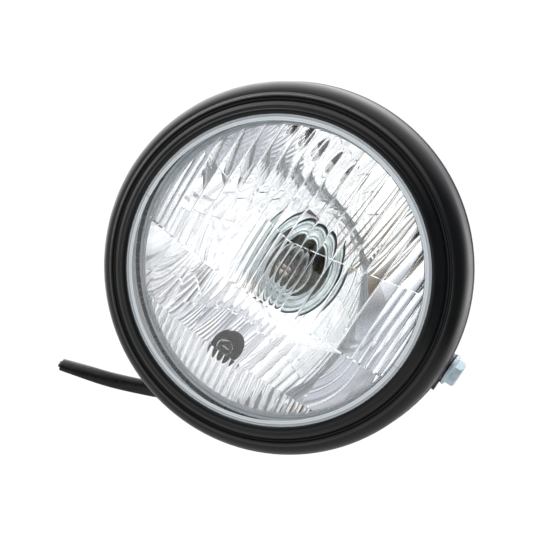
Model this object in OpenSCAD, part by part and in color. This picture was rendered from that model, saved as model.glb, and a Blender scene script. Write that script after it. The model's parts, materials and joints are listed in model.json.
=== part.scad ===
// Round motorcycle headlight with a fluted glass lens and two side bolts.
// The beam leaves towards -Y, +Z is up and +X is at the right of someone facing the lens.
// The origin is the middle of the side bolts' common axis, about which the lamp tilts.
// Depths are measured along +Y from the plane of the visible glass edge.

/* [Rim and glass] */
// Radius of the glass that shows inside the rim
glass_r = 76.7; // [75:0.1:78]
// Width of the rim, from the glass to its largest radius
rim_w = 16.3; // [15.5:0.1:18]
// Depth of the rim's rear edge
rim_depth = 32; // [30:0.5:34]
// Thickness of the rim's sheet
rim_sheet = 1; // [0.8:0.1:1.2]
// Rise of the glass dome above its edge
dome_rise = 15.5; // [12:0.5:18]
// Thickness of the glass at the valleys between flutes
glass_t = 3.1; // [2.5:0.1:3.4]
// Width of one wide flute
flute_pitch = 8.25; // [8:0.05:8.5]

/* [Shell] */
// Step from the rim's radius down to the shell's
shell_step = 5.4; // [5:0.1:6.4]
// Depth of the shell's rear
shell_back = 110; // [106:1:125]
// Thickness of the shell's sheet
shell_sheet = 1; // [0.8:0.1:1.2]
// Depth of the side bolts' axis
pivot_depth = 45; // [42:0.5:50]

/* [Reflector and main bulb] */
// Focal length of the reflector
focal = 31; // [29:0.5:32]
// Depth of the reflector's vertex
vertex_depth = 50; // [49:0.5:52]
// Thickness of the reflector's sheet
reflector_sheet = 0.8; // [0.6:0.1:1]
// Radius of the hole at the reflector's centre
neck_r = 24.8; // [24:0.1:26]
// Radius of the main bulb's globe
globe_r = 12.4; // [11.5:0.1:13]
// Radius of the main bulb's metal base
base_r = 10; // [9.8:0.1:10.6]

/* [Position lamp] */
// Distance of the position lamp below the lamp's axis
position_drop = 52.3; // [50:0.1:54]
// Distance of the position lamp to the side of the lamp's axis
position_x = -4.9; // [-6:0.1:0]
// Radius of the position lamp's rubber holder
position_r = 8; // [7.5:0.1:9]

/* [Side bolts] */
// Radius of the bolt's shank
bolt_r = 4; // [3.5:0.5:4]
// Length of the bolt below its head
bolt_length = 16; // [14:1:20]
// Radius of the bolt's flange
flange_r = 8.5; // [8:0.1:9.5]
// Width of the bolt's hexagon across its flats
hex_flats = 12; // [10:0.5:13]
// Height of the bolt's whole head
head_h = 6.1; // [5:0.1:7]
// Height of the flat pads for the fork's ears above the shell
pad_h = 0.8; // [0.6:0.1:1.2]
// Space left for the right ear, as the bolt stands in the photograph
ear_gap_right = 3.8; // [3:0.1:6]
// Space left for the left ear, whose bolt is screwed in further
ear_gap_left = 2.2; // [2:0.1:6]
// Radius of the ear's seat
seat_r = 11; // [10:0.5:12]

/* [Cable sleeve] */
// Width of the flattened sleeve
sleeve_w = 8.5; // [7:0.5:9]
// Thickness of the flattened sleeve
sleeve_t = 5.6; // [5:0.2:6.4]
// Radius of one insulated wire
wire_r = 1.1; // [0.9:0.1:1.2]
// Twist of the flattened sleeve at its cut end
sleeve_twist = 70; // [0:5:90]

/* [Hidden] */

// Facet counts for large, medium and small rounds
large = 180;
medium = 96;
small = 48;
// Running gap between pieces that only slide together
slack = 0.1;
// Overlap that lets one cut pass cleanly through another surface
cut = 1;

// Radii that follow from the glass
rim_r = glass_r + rim_w;
shell_r = rim_r - shell_step;
seat_x = shell_r + pad_h;

// Depths and radii round the edge of the glass
seat_depth = 1.5;
dome_edge_r = glass_r - 0.2;
grid_r = glass_r - 3.1;
skirt_r = glass_r + 2.7;
skirt_depth = 6;
gasket_t = 1;
gasket_w = 1.9;
channel_depth = skirt_depth + gasket_t;
channel_r = skirt_r + 0.5;

// The dome is part of a sphere
dome_r = (pow(dome_edge_r, 2) + pow(dome_rise, 2)) / (2 * dome_rise);
dome_centre = seat_depth - dome_rise + dome_r;

// The rim's roll is a quarter of an ellipse
groove_r = rim_r - 9.6;
roll_w = 8.5;
roll_h = 11.5;
roll_depth = 17;
skirt_gap = 0.3;
shell_mouth_r = rim_r - rim_sheet - skirt_gap;
shell_lip_depth = 19.6;
shell_lip_w = 5.2;
shell_start = rim_depth + 4;
shell_power = 2.3;

// Seats of the main bulb
collar_seat = vertex_depth - 0.5;
base_seat = collar_seat + 3;
globe_depth = 24;
globe_t = 0.8;
base_front = 40.5;
base_wall = 1.25;
base_back = base_seat + 5.5;
base_flange_r = base_r + 6.3;
insulator_t = 2;
contact_t = 1;
socket_front = base_back + insulator_t + contact_t;
cap_r = base_flange_r + 1.5;
cap_t = 1;
cap_back = socket_front + 12;
socket_r = 12.2;
socket_back = socket_front + 17;

// Position lamp
holder_end = 38;
holder_front = 29;
small_bulb_r = 4.6;

// Side bolt stack, from the seat outwards
tab_t = 1.3;
washer_t = 0.8;
nut_face_x = seat_x - 1.8;
nut_h = 6.5;
nut_flats = 13;

// Cable exit at the bottom of the shell
exit_clock = 6;
exit_tilt = 34.5;
exit_depth = 78;
exit_r = shell_radius(exit_depth, 0);
exit_pad_r = 12.5;
exit_pad_h = 0.6;
exit_sheet = 1.8;
exit_hole_r = 7;
spout_h = 8;
bundle_r = 2.85;

// Route of the sleeve's middle, from the grommet's mouth to the cut end
SLEEVE_ROUTE = [[-8.7, 37.6, -82.6], [-9.2, 40.9, -87.4], [-12, 43.4, -92.2], [-16, 45.4, -97], [-21.2, 46.6, -101.6],
    [-27.5, 47.4, -105.6], [-35.5, 48, -110], [-43.5, 48.4, -113.7], [-50.5, 48.7, -116.8],
    [-57.7, 48.9, -119.7], [-65, 48.9, -122.3], [-72.6, 48.7, -124.7], [-80.5, 48.4, -127.1], [-88.5, 48, -129.5]];

// Geometry helpers

function unit(v) = v / norm(v);

function arc(centre, rx, ry, from, to, steps) =
    [for (i = [0:steps]) let (a = from + (to - from) * i / steps) centre + [rx * cos(a), ry * sin(a)]];

function along(path, i) = unit(path[min(i + 1, len(path) - 1)] - path[max(i - 1, 0)]);

// Closed outline of a sheet of thickness t that follows a path
function sheet(path, t) =
    concat(path, [for (i = [len(path) - 1:-1:0]) let (d = along(path, i)) path[i] + t * [-d[1], d[0]]]);

// Points of a smooth curve through the given points
function smooth(path, steps) =
    concat([for (i = [0:len(path) - 2], k = [0:steps - 1])
        let (a = path[max(i - 1, 0)], b = path[i], c = path[i + 1], d = path[min(i + 2, len(path) - 1)],
            u = k / steps)
        0.5 * (2 * b + (c - a) * u + (2 * a - 5 * b + 4 * c - d) * u * u
            + (3 * b - 3 * c + d - a) * u * u * u)], [path[len(path) - 1]]);

// One ring of an oval tube round point i of a path, turned about the path
function ring(path, i, a, b, sides, up, turn) =
    let (t = along(path, i), u = unit(cross(up, t)), v = cross(t, u),
        wide = u * cos(turn) + v * sin(turn), thin = v * cos(turn) - u * sin(turn))
    [for (k = [0:sides - 1]) path[i] + wide * a * cos(360 * k / sides) + thin * b * sin(360 * k / sides)];

module tube(path, a, b, sides, up = [0, 1, 0], twist = 0) {
    last = len(path) - 1;
    polyhedron(
        points = [for (i = [0:last], p = ring(path, i, a, b, sides, up, twist * pow(i / last, 3))) p],
        faces = concat([[for (k = [0:sides - 1]) k]],
            [for (i = [0:last - 1], k = [0:sides - 1])
                let (n = (k + 1) % sides) [i * sides + n, i * sides + k, (i + 1) * sides + k]],
            [for (i = [0:last - 1], k = [0:sides - 1])
                let (n = (k + 1) % sides) [i * sides + n, (i + 1) * sides + k, (i + 1) * sides + n]],
            [[for (k = [sides - 1:-1:0]) last * sides + k]]));
}

// Turns a [radius, depth] outline about the lamp's axis
module lathe(facets = large) {
    translate([0, -pivot_depth, 0]) rotate([-90, 0, 0]) rotate_extrude($fn = facets) children();
}

// A rod along the lamp's axis between two depths
module rod(r, from, to, facets = medium) {
    translate([0, from - pivot_depth, 0]) rotate([-90, 0, 0]) cylinder(r = r, h = to - from, $fn = facets);
}

module ball(r, depth) {
    translate([0, depth - pivot_depth, 0]) sphere(r = r, $fn = medium);
}

// A rod along the side bolts' axis between two distances from the middle
module side_rod(r, from, to, facets = medium) {
    translate([from, 0, 0]) rotate([0, 90, 0]) cylinder(r = r, h = to - from, $fn = facets);
}

module left() {
    mirror([1, 0, 0]) children();
}

// Shell

function shell_radius(depth, off) =
    (shell_r - off) * pow(1 - pow((depth - shell_start) / (shell_back - off - shell_start), shell_power),
        1 / shell_power);

// The depths crowd towards the shell's rear, where it curves most
function shell_outline(off) = concat(
    [[shell_mouth_r - off, shell_lip_depth + off], [shell_mouth_r - off, rim_depth - 1],
        [shell_r + 1.6 - off, rim_depth + 2]],
    [for (i = [0:23]) let (d = shell_start + (shell_back - off - shell_start) * sin(90 * i / 24))
        [shell_radius(d, off), d]],
    [[0, shell_back - off], [0, shell_lip_depth + off]]);

module at_exit() {
    rotate([0, exit_clock, 0]) translate([0, exit_depth - pivot_depth, -exit_r])
        rotate([180 + exit_tilt, 0, 0]) children();
}

module shell() {
    lip_r = shell_mouth_r - shell_lip_w;
    drain_r = 2.5;
    screw_hole_r = 2.8;
    color("#17181a") difference() {
        union() {
            lathe() polygon(shell_outline(0));
            side_rod(seat_r, shell_r - 20, seat_x);
            left() side_rod(seat_r, shell_r - 20, seat_x);
            at_exit() translate([0, 0, -10]) cylinder(r = exit_pad_r, h = 10 + exit_pad_h, $fn = medium);
        }
        lathe() polygon(shell_outline(shell_sheet));
        rod(lip_r, shell_lip_depth - cut, shell_lip_depth + shell_sheet + cut, large);
        for (side = [0, 1]) mirror([side, 0, 0]) {
            side_rod(bolt_r + 0.3, shell_r - 20, seat_x + cut);
            side_rod(nut_flats * 0.62, shell_r - 20, nut_face_x);
        }
        at_exit() {
            translate([0, 0, -12]) cylinder(r = 9.6, h = 12 + exit_pad_h - exit_sheet, $fn = medium);
            translate([0, 0, -12]) cylinder(r = exit_hole_r, h = 20, $fn = medium);
        }
        translate([14, 66 - pivot_depth, -shell_r - cut]) cylinder(r = drain_r, h = 20, $fn = small);
        translate([0, screw_depth - pivot_depth, -rim_r - cut]) cylinder(r = screw_hole_r, h = 10, $fn = small);
    }
}

// Rim

rim_front_path = concat(
    [[glass_r, seat_depth]],
    arc([glass_r + 1.5, 0.9], 1.5, 1.5, 180, 325, 8),
    [[glass_r + 4.4, 0.9], [groove_r - 0.6, 2.6], [groove_r - 0.1, 3.9], [groove_r + 0.5, 4.6],
        [groove_r + 1.2, 4.5], [groove_r + 1.8, 4], [groove_r + 2.4, 4], [groove_r + 2.9, 4.5],
        [groove_r + 3.3, 5.3], [groove_r + 3.6, 5.6]],
    arc([rim_r - roll_w, roll_depth], roll_w, roll_h, -70, 0, 20),
    [[rim_r, rim_depth - 2.6], [rim_r + 0.35, rim_depth - 1.8], [rim_r + 0.35, rim_depth]]);

rim_back_path = concat(
    [[rim_r - rim_sheet, rim_depth]],
    arc([rim_r - roll_w, roll_depth], roll_w - rim_sheet, roll_h - rim_sheet, 0, -70, 20),
    [[groove_r + 2.4, 6.6], [groove_r + 0.8, 6], [groove_r - 0.9, 4], [glass_r + 4.1, 1.9],
        [glass_r + 2.6, 1.1], [glass_r + 1.5, 0.6], [glass_r + 0.8, 1], [glass_r + 0.8, seat_depth]]);

screw_depth = 25;

module rim() {
    color("#141516") difference() {
        lathe() polygon(concat(rim_front_path, rim_back_path));
        translate([0, screw_depth - pivot_depth, -rim_r - cut]) cylinder(r = 2.8, h = 3 * rim_sheet, $fn = small);
    }
}

// A strip bent along a [radius, depth] path, square to the radius at a clock angle
module strip(path, t, width, clock) {
    rotate([0, clock, 0]) translate([-width / 2, -pivot_depth, 0])
        rotate([90, 0, 90]) linear_extrude(width) scale_z() polygon(sheet(path, t));
}

// Swaps a [radius, depth] outline to [depth, -radius], so the radius points down
module scale_z() {
    rotate(-90) children();
}

module rim_hook() {
    hook_r = shell_mouth_r - shell_lip_w - 0.6;
    arm_depth = shell_lip_depth - 1.2;
    hook_t = 1.2;
    catch_depth = shell_lip_depth + shell_sheet + slack;
    weld_r = rim_r - rim_sheet - 0.4;
    color("#8d9194")
        strip([[weld_r, arm_depth], [hook_r, arm_depth], [hook_r, catch_depth], [hook_r + 4, catch_depth]],
            hook_t, 14, 180);
}

module rim_screw() {
    color("#aeb4b8") translate([0, screw_depth - pivot_depth, -rim_r - 0.02]) difference() {
        union() {
            cylinder(r = 2.5, h = 9.5, $fn = small);
            translate([0, 0, -1.6]) cylinder(r1 = 3.6, r2 = 4.2, h = 1.6, $fn = small);
        }
        translate([-0.5, -5, -2]) cube([1, 10, 1.2]);
    }
}

module rim_nut() {
    nut_w = 8.4;
    color("#9a9ea1") translate([0, screw_depth - pivot_depth, -shell_mouth_r + shell_sheet + 0.2]) difference() {
        translate([-nut_w / 2, -nut_w / 2, 0]) cube([nut_w, nut_w, 4]);
        translate([0, 0, -cut]) cylinder(r = 2.55, h = 4 + 2 * cut, $fn = small);
    }
}

module retaining_clips() {
    back = channel_depth + reflector_sheet;
    reach = rim_r - rim_sheet - 0.25;
    color("#7f8488") for (i = [0:4])
        strip([[channel_r - 2.6, back], [channel_r + 1.4, back], [reach - 6.6, back + 5], [reach - 1.4, back + 7.6],
            [reach, back + 10.4]], 0.8, 8, 18 + 72 * i);
}

// Lens
// The flutes run up and down. Their ridges stand on the inner face of the dome in four zones:
// zone 0 is the bottom, zone 1 the clear band, zone 2 the middle band and zone 3 the top.

low_line = -49.3;
mid_line = -15.2;
peak_line = 17.6;
peak_x = -1;
peak_slope = 0.182;
ledge = 0.2;
flute_start = -3;
zone_t = [glass_t + 0.3, glass_t - 0.1, glass_t + 0.7, glass_t];
zone_rows = [4, 4, 5, 5];
sub_columns = 3;

function upper_line(x) = peak_line + peak_slope * abs(x - peak_x);

// Place in the row of half-pitch cells, and the place across a flute that is several cells wide
function cell(x) = (x - flute_start) / (flute_pitch / 2);
function across(x, cells) = cell(x) / cells - floor(cell(x) / cells);
function ridge(x, cells, h) = let (u = across(x, cells)) 4 * h * u * (1 - u);

// The middle band has narrow flutes at its centre and near its ends
function is_narrow(x) = abs(x + 3) > 57.75 || (x > -19.5 && x < 13.5);
function flute(x, zone) =
    zone == 0 ? ridge(x, 1, 0.45) :
    zone == 1 ? ridge(x, 4, 0.14) :
    zone == 2 ? (is_narrow(x) ? ridge(x, 1, 0.42) : ridge(x, 2, 0.3)) :
    ridge(x, 2, 0.75);

function dome_depth(x, z) = dome_centre - sqrt(pow(dome_r, 2) - x * x - z * z);
function inner_depth(x, z, zone) =
    dome_centre - sqrt(pow(sqrt(pow(dome_r - zone_t[zone], 2) - x * x) - flute(x, zone), 2) - z * z);

cell_w = flute_pitch / 2;
first_cell = ceil((-grid_r + 0.3 - flute_start) / cell_w * sub_columns);
last_cell = floor((grid_r - 0.3 - flute_start) / cell_w * sub_columns);
columns = [for (i = [first_cell:last_cell]) flute_start + i * cell_w / sub_columns];

// Heights of the rows in one column, each with its zone
function limits(x) =
    let (w = sqrt(grid_r * grid_r - x * x),
        c = max(low_line, -w + 0.5),
        b = max(mid_line, c + 0.6),
        a = min(upper_line(x), w - 0.5))
    [-w, c, b, a, w];
function rows(x) = let (l = limits(x))
    [for (zone = [0:3], k = [0:zone_rows[zone]])
        let (from = l[zone] + (zone > 0 ? ledge / 2 : 0), to = l[zone + 1] - (zone < 3 ? ledge / 2 : 0))
        [from + (to - from) * k / zone_rows[zone], zone]];

n_rows = zone_rows[0] + zone_rows[1] + zone_rows[2] + zone_rows[3] + 4;
n_columns = len(columns);
front_points = [for (x = columns, r = rows(x)) [x, dome_depth(x, r[0]), r[0]]];
back_points = [for (x = columns, r = rows(x)) [x, inner_depth(x, r[0], r[1]), r[0]]];
n_grid = n_rows * n_columns;

// Numbers of the grid's border points, once round
border = concat(
    [for (j = [0:n_rows - 1]) j],
    [for (i = [1:n_columns - 1]) i * n_rows + n_rows - 1],
    [for (j = [n_rows - 2:-1:0]) (n_columns - 1) * n_rows + j],
    [for (i = [n_columns - 2:-1:1]) i * n_rows]);
n_border = len(border);

function on_circle(p, r, depth) = let (s = r / norm([p[0], p[2]])) [p[0] * s, depth, p[2] * s];

shoulder_r = (grid_r + dome_edge_r) / 2;
skirt_rings = [[shoulder_r, dome_depth(shoulder_r, 0)], [dome_edge_r, seat_depth], [skirt_r, seat_depth],
    [skirt_r, skirt_depth], [grid_r + 0.05, skirt_depth]];
ring_points = [for (s = skirt_rings, b = border) on_circle(front_points[b], s[0], s[1])];

// Numbers of the points of one border loop: the front grid, the skirt's rings, the back grid
function loop(k, i) = k == 0 ? border[i % n_border] :
    k <= len(skirt_rings) ? 2 * n_grid + (k - 1) * n_border + i % n_border : n_grid + border[i % n_border];

module lens() {
    faces_front = [for (i = [0:n_columns - 2], j = [0:n_rows - 2]) let (p = i * n_rows + j)
        each [[p, p + n_rows, p + n_rows + 1], [p, p + n_rows + 1, p + 1]]];
    faces_back = [for (f = faces_front) [f[0] + n_grid, f[2] + n_grid, f[1] + n_grid]];
    faces_skirt = [for (k = [0:len(skirt_rings)], i = [0:n_border - 1])
        each [[loop(k, i), loop(k, i + 1), loop(k + 1, i + 1)], [loop(k, i), loop(k + 1, i + 1), loop(k + 1, i)]]];
    faces = concat(faces_front, faces_back, faces_skirt);
    color([0.86, 0.92, 0.9, 0.45]) translate([0, -pivot_depth, 0]) polyhedron(
        points = concat(front_points, back_points, ring_points),
        faces = [for (f = faces) [f[0], f[2], f[1]]]);
}

module lens_gasket() {
    color("#202224") lathe() translate([skirt_r - 0.3 - gasket_w, skirt_depth]) square([gasket_w, gasket_t]);
}

// Reflector

function bowl_depth(r) = vertex_depth - r * r / (4 * focal);
bowl_r = sqrt(4 * focal * (vertex_depth - channel_depth));
bowl_path = [for (i = [0:24]) let (r = neck_r + 0.6 + (bowl_r - neck_r - 0.6) * i / 24) [r, bowl_depth(r)]];
reflector_path = concat([[neck_r, collar_seat], [neck_r, bowl_depth(neck_r) + 0.4]], bowl_path,
    [[channel_r, channel_depth], [channel_r, seat_depth + 2.3]]);

module reflector() {
    color("#d5d9dc") difference() {
        union() {
            lathe() polygon(sheet(reflector_path, reflector_sheet));
            intersection() {
                below() rod(position_r + slack + reflector_sheet, 10, holder_end);
                lathe() polygon(concat(bowl_path, [[bowl_r, holder_end + 5], [neck_r + 0.6, holder_end + 5]]));
            }
        }
        below() rod(position_r + slack, 0, holder_end + cut);
    }
}

// Main bulb and its holder

module bulb_collar() {
    front = bowl_depth(neck_r) - 1.6;
    bore_r = base_flange_r - 1.3;
    color("#c3c8c6") lathe() polygon([
        [bore_r, base_seat], [bore_r, front + 1.4], [bore_r + 0.4, front + 0.3], [bore_r + 1.5, front - 0.3],
        [bore_r + 2.7, front + 0.3], [bore_r + 3.1, front + 1.6], [bore_r + 4.4, front + 2.1],
        [neck_r - 3, front + 1.6], [neck_r - 2.4, front + 0.3], [neck_r - 1.2, front + 0.2],
        [neck_r - slack, front + 1.2], [neck_r - slack, collar_seat], [neck_r + 2.8, collar_seat],
        [neck_r + 2.8, collar_seat + 1.5], [neck_r + 0.8, collar_seat + 1.5], [neck_r + 0.8, base_seat]]);
}

module bulb_glass() {
    neck = base_r - base_wall - slack;
    color([0.9, 0.93, 0.92, 0.35]) difference() {
        union() {
            ball(globe_r, globe_depth);
            rod(neck, globe_depth + 2, base_front + 4);
        }
        ball(globe_r - globe_t, globe_depth);
        rod(neck - globe_t, globe_depth + 2, base_front + 4 + cut);
    }
}

module bulb_stem() {
    neck = base_r - base_wall - slack - globe_t;
    color([0.85, 0.88, 0.86, 0.5]) {
        rod(neck - 2.6, base_front - 5, base_back - base_wall - 3);
        rod(neck - 0.2, base_back - base_wall - 3, base_back - base_wall);
    }
}

// Two coils across the beam, the main one at the focus and the dipped one ahead of it
module bulb_filaments() {
    focus = vertex_depth - focal;
    wire = 0.35;
    color("#9a8f80") for (f = [[focus + 1, 0, 2.8, 0.75], [focus - 3, 1.6, 2.4, 0.65]]) {
        translate([-f[2], f[0] - pivot_depth, f[1]]) rotate([0, 90, 0])
            cylinder(r = f[3], h = 2 * f[2], $fn = small);
        for (side = [-1, 1]) translate([side * f[2], 0, f[1]])
            rod(wire, f[0], base_front - 5, small);
    }
}

module bulb_shield() {
    focus = vertex_depth - focal;
    cup_r = 3.8;
    cup_t = 0.35;
    cup_depth = focus - 2.2;
    color("#8c9093") translate([0, 0, 0.4]) {
        difference() {
            ball(cup_r, cup_depth);
            ball(cup_r - cup_t, cup_depth);
            translate([-10, -pivot_depth, -0.6]) cube([20, 60, 20]);
            translate([-10, focus - 1 - pivot_depth, -10]) cube([20, 20, 20]);
        }
        translate([0, 0, 0.6 - cup_r]) rod(0.4, focus - 1.4, base_front - 5, small);
    }
}

module bulb_base() {
    pin_r = 1;
    color("#b9a878") {
        difference() {
            rod(base_r, base_front, base_back);
            rod(base_r - base_wall, base_front - cut, base_back - base_wall);
        }
        difference() {
            rod(base_flange_r, base_seat, base_seat + 1.5);
            rod(base_r, base_seat - cut, base_seat + 1.5 + cut);
        }
        for (side = [0, 1]) mirror([side, 0, 0]) translate([0, base_back - 2 - pivot_depth, 0])
            side_rod(pin_r, base_r - 0.5, base_r + 1.6, small);
    }
}

module bulb_insulator() {
    color("#191817") rod(base_r - 0.6, base_back, base_back + insulator_t);
}

module each_contact() {
    for (a = [90, 210, 330]) rotate([0, a, 0]) translate([0, 0, 5]) children();
}

module bulb_contacts() {
    color("#c9c4b4") each_contact() rod(1.3, base_back + insulator_t, socket_front, small);
}

module socket_cap() {
    color("#b4b9bb") lathe(medium) polygon([
        [cap_r - cap_t, base_seat], [cap_r + 2.3, base_seat], [cap_r + 2.3, base_seat + 1.1],
        [cap_r, base_seat + 1.1], [cap_r, cap_back], [socket_r + 0.4, cap_back],
        [socket_r + 0.4, cap_back - cap_t], [cap_r - cap_t, cap_back - cap_t]]);
}

module socket_spring() {
    wire = 0.6;
    from = socket_front + 2.2 + wire;
    to = cap_back - cap_t - wire;
    turns = 3;
    steps = 16;
    middle_r = (socket_r + cap_r - cap_t) / 2;
    color("#8f9497") tube([for (i = [0:turns * steps]) let (a = 360 * i / steps)
        [middle_r * cos(a), from + (to - from) * i / (turns * steps) - pivot_depth, middle_r * sin(a)]],
        wire, wire, 6);
}

module socket_body() {
    color("#1c1b1a") difference() {
        union() {
            rod(cap_r - cap_t - 0.4, socket_front, socket_front + 2.2);
            rod(socket_r, socket_front, socket_back);
        }
        each_contact() rod(wire_r + 0.2, socket_back - 6, socket_back + cut, small);
    }
}

module bulb_boot() {
    lip = neck_r + 3.1;
    color("#151617") lathe() polygon(sheet([
        [lip - 1.8, collar_seat - slack], [lip, collar_seat - slack], [lip, collar_seat + 1.9],
        [lip - 1.2, collar_seat + 2.9], [cap_r + 4, base_seat + 4], [cap_r + 0.8, base_seat + 9],
        [cap_r + 0.3, base_seat + 16]], -1.4));
}

// Position lamp

module below() {
    translate([position_x, 0, -position_drop]) children();
}

module position_holder() {
    color("#1d1e1f") below() difference() {
        union() {
            rod(position_r, holder_front, holder_end);
            rod(position_r + 2.4, holder_end, holder_end + 2.5);
            rod(position_r - 1, holder_end + 2.5, holder_end + 8);
        }
        rod(small_bulb_r + slack, holder_front - cut, holder_end + 2);
        rod(wire_r + 0.35, holder_end + 5, holder_end + 8 + cut, small);
    }
}

module position_bulb() {
    wall = 0.6;
    tip = holder_front - 7;
    color([0.9, 0.93, 0.92, 0.4]) below() difference() {
        union() {
            ball(small_bulb_r, tip);
            rod(small_bulb_r, tip, holder_end + 2);
        }
        ball(small_bulb_r - wall, tip);
        rod(small_bulb_r - wall, tip, holder_end);
    }
}

module position_filament() {
    tip = holder_front - 6;
    color("#a09484") below() {
        translate([-1.8, tip - pivot_depth, 0]) rotate([0, 90, 0]) cylinder(r = 0.35, h = 3.6, $fn = small);
        for (side = [-1, 1]) translate([side * 1.8, 0, 0]) rod(0.3, tip, holder_end, small);
    }
}

// Cable exit

module grommet() {
    flange = 2;
    color("#1a1b1c") at_exit() difference() {
        union() {
            translate([0, 0, exit_pad_h]) cylinder(r = exit_pad_r - 2, h = flange, $fn = medium);
            translate([0, 0, exit_pad_h - exit_sheet]) cylinder(r = exit_hole_r - slack, h = exit_sheet + cut,
                $fn = medium);
            translate([0, 0, exit_pad_h - exit_sheet - flange]) cylinder(r = 9, h = flange, $fn = medium);
            translate([0, 0, exit_pad_h + flange]) cylinder(r1 = 6.4, r2 = sleeve_w / 2 + 0.9,
                h = spout_h - exit_pad_h - flange, $fn = medium);
        }
        translate([0, 0, -10]) cylinder(r = bundle_r, h = 30, $fn = small);
    }
}

module cord_sleeve() {
    color("#101112") tube(SLEEVE_ROUTE, sleeve_w / 2, sleeve_t / 2, 12, [0.35, 1, 0.2], sleeve_twist);
}

// Short ends of the wires at the sleeve's cut end, on its wide axis
module wire_end(place) {
    last = len(SLEEVE_ROUTE) - 1;
    ends = ring(SLEEVE_ROUTE, last, place * (wire_r + slack), 0, 4, [0.35, 1, 0.2], sleeve_twist);
    out = along(SLEEVE_ROUTE, last);
    tube([ends[0], ends[0] + out * 1.5], wire_r, wire_r, 8);
}

module wire_end_blue() {
    color("#1f4fa8") wire_end(1);
}

module wire_end_brown() {
    color("#6b4226") wire_end(-1);
}

// Wires
// Each lies in one corner of the bundle at the grommet, where u and v are -1 or 1

function exit_point(u, v, h) =
    let (t = exit_tilt, c = exit_clock, o = (wire_r + 0.12),
        x = u * o, y = exit_depth - pivot_depth + h * sin(t) + v * o * cos(t),
        z = -exit_r - h * cos(t) + v * o * sin(t))
    [x * cos(c) + z * sin(c), y, -x * sin(c) + z * cos(c)];

module wire(start, middle, u, v) {
    spread = 2.5;
    tube(smooth(concat(start, middle, [exit_point(spread * u, spread * v, -14), exit_point(u, v, -5),
        exit_point(u, v, 1), exit_point(u, v, spout_h)]), 3), wire_r, wire_r, 8, [1, 0.2, 0]);
}

function contact_point(a, depth) = [5 * sin(a), depth - pivot_depth, 5 * cos(a)];
function from_socket(a) =
    [contact_point(a, socket_back - 6), contact_point(a, socket_back + 0.5), contact_point(a, socket_back + 3)];

module wire_blue() {
    color("#1f4fa8") wire(from_socket(210), [[-7, 41, -22], [-7, 41.5, -44]], -1, 1);
}

module wire_white() {
    color("#d9d9d4") wire(from_socket(90), [[4, 44, -18], [0, 44.5, -42]], 1, 1);
}

module wire_black() {
    color("#161616") wire(from_socket(330), [[-11, 43, -16], [-11.5, 38, -44]], -1, -1);
}

module wire_brown() {
    below_y = holder_end + 5 + slack - pivot_depth;
    color("#6b4226") wire([[position_x, below_y, -position_drop], [position_x, below_y + 3.5, -position_drop]],
        [[position_x, below_y + 9, -position_drop - 1]], 1, -1);
}

// Side bolts and what lies under their heads
// A gap is the space left for the fork's ear on that side

function tab_at(gap) = seat_x + gap;
function washer_at(gap) = tab_at(gap) + tab_t;
function head_at(gap) = washer_at(gap) + washer_t;

module side_bolt(gap) {
    head_x = head_at(gap);
    flange_t = 1.3;
    hex_r = hex_flats / sqrt(3);
    color("#b9c4cd") {
        side_rod(bolt_r, head_x - bolt_length, head_x + cut / 2);
        side_rod(flange_r, head_x, head_x + flange_t);
        translate([head_x + flange_t, 0, 0]) rotate([0, 90, 0])
            cylinder(r1 = flange_r - 0.3, r2 = hex_r - 0.6, h = 0.9, $fn = medium);
        intersection() {
            translate([head_x + flange_t, 0, 0]) rotate([0, 90, 0]) cylinder(r = hex_r, h = head_h - flange_t, $fn = 6);
            translate([head_x, 0, 0]) rotate([0, 90, 0])
                cylinder(r1 = hex_r + head_h - 0.9, r2 = hex_r - 0.9, h = head_h, $fn = medium);
        }
    }
}

module bolt_washer(gap) {
    washer_x = washer_at(gap);
    head_x = head_at(gap);
    color("#151516") difference() {
        side_rod(flange_r - 0.3, washer_x, head_x);
        side_rod(bolt_r + 0.2, washer_x - cut, head_x + cut);
    }
}

// A plain washer with one tongue that points down
module tab_washer(gap) {
    tab_x = tab_at(gap);
    washer_x = washer_at(gap);
    tongue_w = 4.6;
    tongue_reach = 13.3;
    color("#a49c98") difference() {
        union() {
            side_rod(flange_r - 0.6, tab_x, washer_x);
            translate([tab_x, -tongue_w / 2, -tongue_reach + 1]) cube([tab_t, tongue_w, tongue_reach - 1]);
            translate([0, 0, -tongue_reach + 1]) intersection() {
                side_rod(tongue_w / 2, tab_x, washer_x, small);
                translate([tab_x - cut, -tongue_w / 2, -1]) cube([tab_t + 2 * cut, tongue_w, 2]);
            }
        }
        side_rod(bolt_r + 0.2, tab_x - cut, washer_x + cut);
    }
}

module weld_nut() {
    color("#9a9ea1") difference() {
        translate([nut_face_x - nut_h, 0, 0]) rotate([0, 90, 0])
            cylinder(r = nut_flats / sqrt(3), h = nut_h, $fn = 6);
        side_rod(bolt_r + 0.05, nut_face_x - nut_h - cut, nut_face_x + cut);
    }
}

shell();
rim();
rim_hook();
rim_screw();
rim_nut();
retaining_clips();
lens();
lens_gasket();
reflector();
bulb_collar();
bulb_glass();
bulb_stem();
bulb_filaments();
bulb_shield();
bulb_base();
bulb_insulator();
bulb_contacts();
socket_cap();
socket_spring();
socket_body();
bulb_boot();
position_holder();
position_bulb();
position_filament();
grommet();
wire_blue();
wire_white();
wire_black();
wire_brown();
side_bolt(ear_gap_right);  // side_bolt_right
left() side_bolt(ear_gap_left);  // side_bolt_left
bolt_washer(ear_gap_right);  // bolt_washer_right
left() bolt_washer(ear_gap_left);  // bolt_washer_left
tab_washer(ear_gap_right);  // tab_washer_right
left() tab_washer(ear_gap_left);  // tab_washer_left
weld_nut();  // weld_nut_right
left() weld_nut();  // weld_nut_left
cord_sleeve();
wire_end_blue();
wire_end_brown();
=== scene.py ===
"""A round motorcycle headlight with a fluted glass, a mirror bowl, side bolts and a cut cable sleeve."""
import json
import math

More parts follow.
